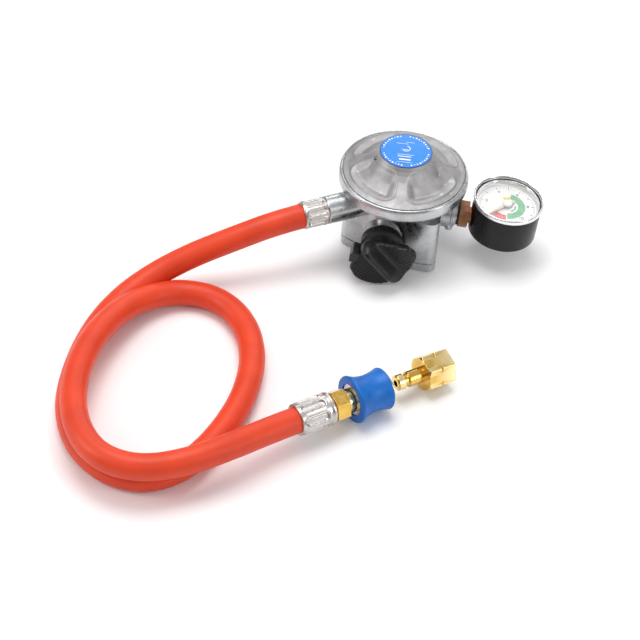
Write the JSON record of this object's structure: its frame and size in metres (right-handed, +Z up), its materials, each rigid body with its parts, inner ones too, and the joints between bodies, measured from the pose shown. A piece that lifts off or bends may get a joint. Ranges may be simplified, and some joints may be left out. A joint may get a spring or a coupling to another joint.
{
  "type": "propane regulator hose",
  "caption": "Clip-on gas pressure regulator with turn knob and dial gauge, and a coiled rubber hose ending in a sleeve quick coupler and a hex plug.",
  "frame": {"origin": "centre of the cylinder-valve socket's mouth, in the plane the regulator stands on", "axes": "+Z up along the socket and the regulator's axis, -Y out along the knob's shaft, +X towards the gauge"},
  "size_m": [0.2628, 0.2745, 0.0705],
  "materials": {
    "zinc": "satin die-cast zinc",
    "lid_metal": "sand-textured die casting",
    "steel": "plated steel",
    "ferrule_steel": "crimped plated steel",
    "brass": "turned brass",
    "bronze": "dulled bronze",
    "black_plastic": "moulded black plastic",
    "case_black": "satin black",
    "bezel": "polished",
    "lens": "clear",
    "dial": "white printed face",
    "pointer": "pale paint",
    "cap_white": "white",
    "label": "printed blue label",
    "hose_rubber": "matte orange-red rubber",
    "seal_rubber": "black rubber",
    "blue_sleeve": "blue anodised, satin"
  },
  "bodies": {
    "root": {"base_cover": "zinc", "body_casting": "zinc", "cover_screws": "steel", "locking_collar": "steel", "locking_balls": "steel", "valve_seal": "seal_rubber", "spindle_bush": "brass", "spindle_seal": "seal_rubber", "inlet_nozzle": "brass", "lever_pin": "steel", "diaphragm": "seal_rubber", "pressure_spring": "steel", "cover_lid": "lid_metal", "adjuster_cap": "black_plastic", "label_disc": "label", "gauge_washer": "seal_rubber", "gauge_connector": "bronze", "gauge_case": "case_black", "gauge_bezel": "bezel", "gauge_lens": "lens", "gauge_dial": "dial", "bourdon_tube": "brass", "gauge_movement": "brass", "outlet_tail": "zinc", "outlet_ferrule": "ferrule_steel", "hose": "hose_rubber", "coupler_ferrule": "ferrule_steel", "coupler_tail": "brass", "coupler_body": "brass", "coupler_balls": "steel", "coupler_ring": "brass", "sleeve_clip": "steel", "sleeve_spring": "steel", "coupler_seal": "seal_rubber", "poppet_spring": "steel"},
    "knob": {"knob": "black_plastic", "cam_shaft": "steel", "knob_screw": "steel"},
    "opening_pin": {"opening_pin": "brass"},
    "diaphragm_stack": {"diaphragm_plate": "zinc"},
    "lever": {"lever": "steel", "seat_pad": "seal_rubber"},
    "pointer": {"pointer_shaft": "brass", "gauge_pointer": "pointer", "pointer_cap": "cap_white"},
    "coupler_sleeve": {"coupler_sleeve": "blue_sleeve"},
    "plug": {"plug": "brass", "plug_washer": "seal_rubber"},
    "poppet": {"coupler_poppet": "brass"}
  },
  "joints": [
    {"name": "knob_turn", "type": "hinge", "parent": "root", "child": "knob", "pos_m": [-0.008, 0, 0.0205], "axis": [0, 1, 0], "range_deg": [0, 100]},
    {"name": "pin_slide", "type": "slide", "parent": "root", "child": "opening_pin", "axis": [0, 0, -1], "range_m": [0, 0.00307]},
    {"name": "diaphragm_move", "type": "slide", "parent": "root", "child": "diaphragm_stack", "axis": [0, 0, 1], "range_m": [0, 0.0016], "stiffness_N_per_m": 5000, "springref_m": -0.004, "deforming": ["pressure_spring", "diaphragm"]},
    {"name": "lever_turn", "type": "hinge", "parent": "root", "child": "lever", "pos_m": [-0.0095, 0, 0.0443], "axis": [0, -1, 0], "range_deg": [0, 9.7]},
    {"name": "pointer_turn", "type": "hinge", "parent": "root", "child": "pointer", "pos_m": [0.06313, 0, 0.025], "axis": [-0.0698, 0, -0.9976], "range_deg": [0, 270]},
    {"name": "sleeve_slide", "type": "slide", "parent": "root", "child": "coupler_sleeve", "axis": [-0.7901, -0.6107, 0.0523], "range_m": [0, 0.0035], "stiffness_N_per_m": 800, "springref_m": -0.006, "deforming": ["sleeve_spring"]},
    {"name": "plug_insert", "type": "slide", "parent": "root", "child": "plug", "axis": [-0.7901, -0.6107, 0.0523], "range_m": [0, 0.0227]},
    {"name": "poppet_slide", "type": "slide", "parent": "root", "child": "poppet", "axis": [-0.7901, -0.6107, 0.0523], "range_m": [0, 0.0023], "deforming": ["poppet_spring"]}
  ],
  "couplings": [
    {"joint": "pin_slide", "follows": "knob_turn", "m_per_rad": 0.0017533},
    {"joint": "lever_turn", "follows": "diaphragm_move", "rad_per_m": 105.26},
    {"joint": "poppet_slide", "follows": "plug_insert", "ratio": 0.1}
  ]
}
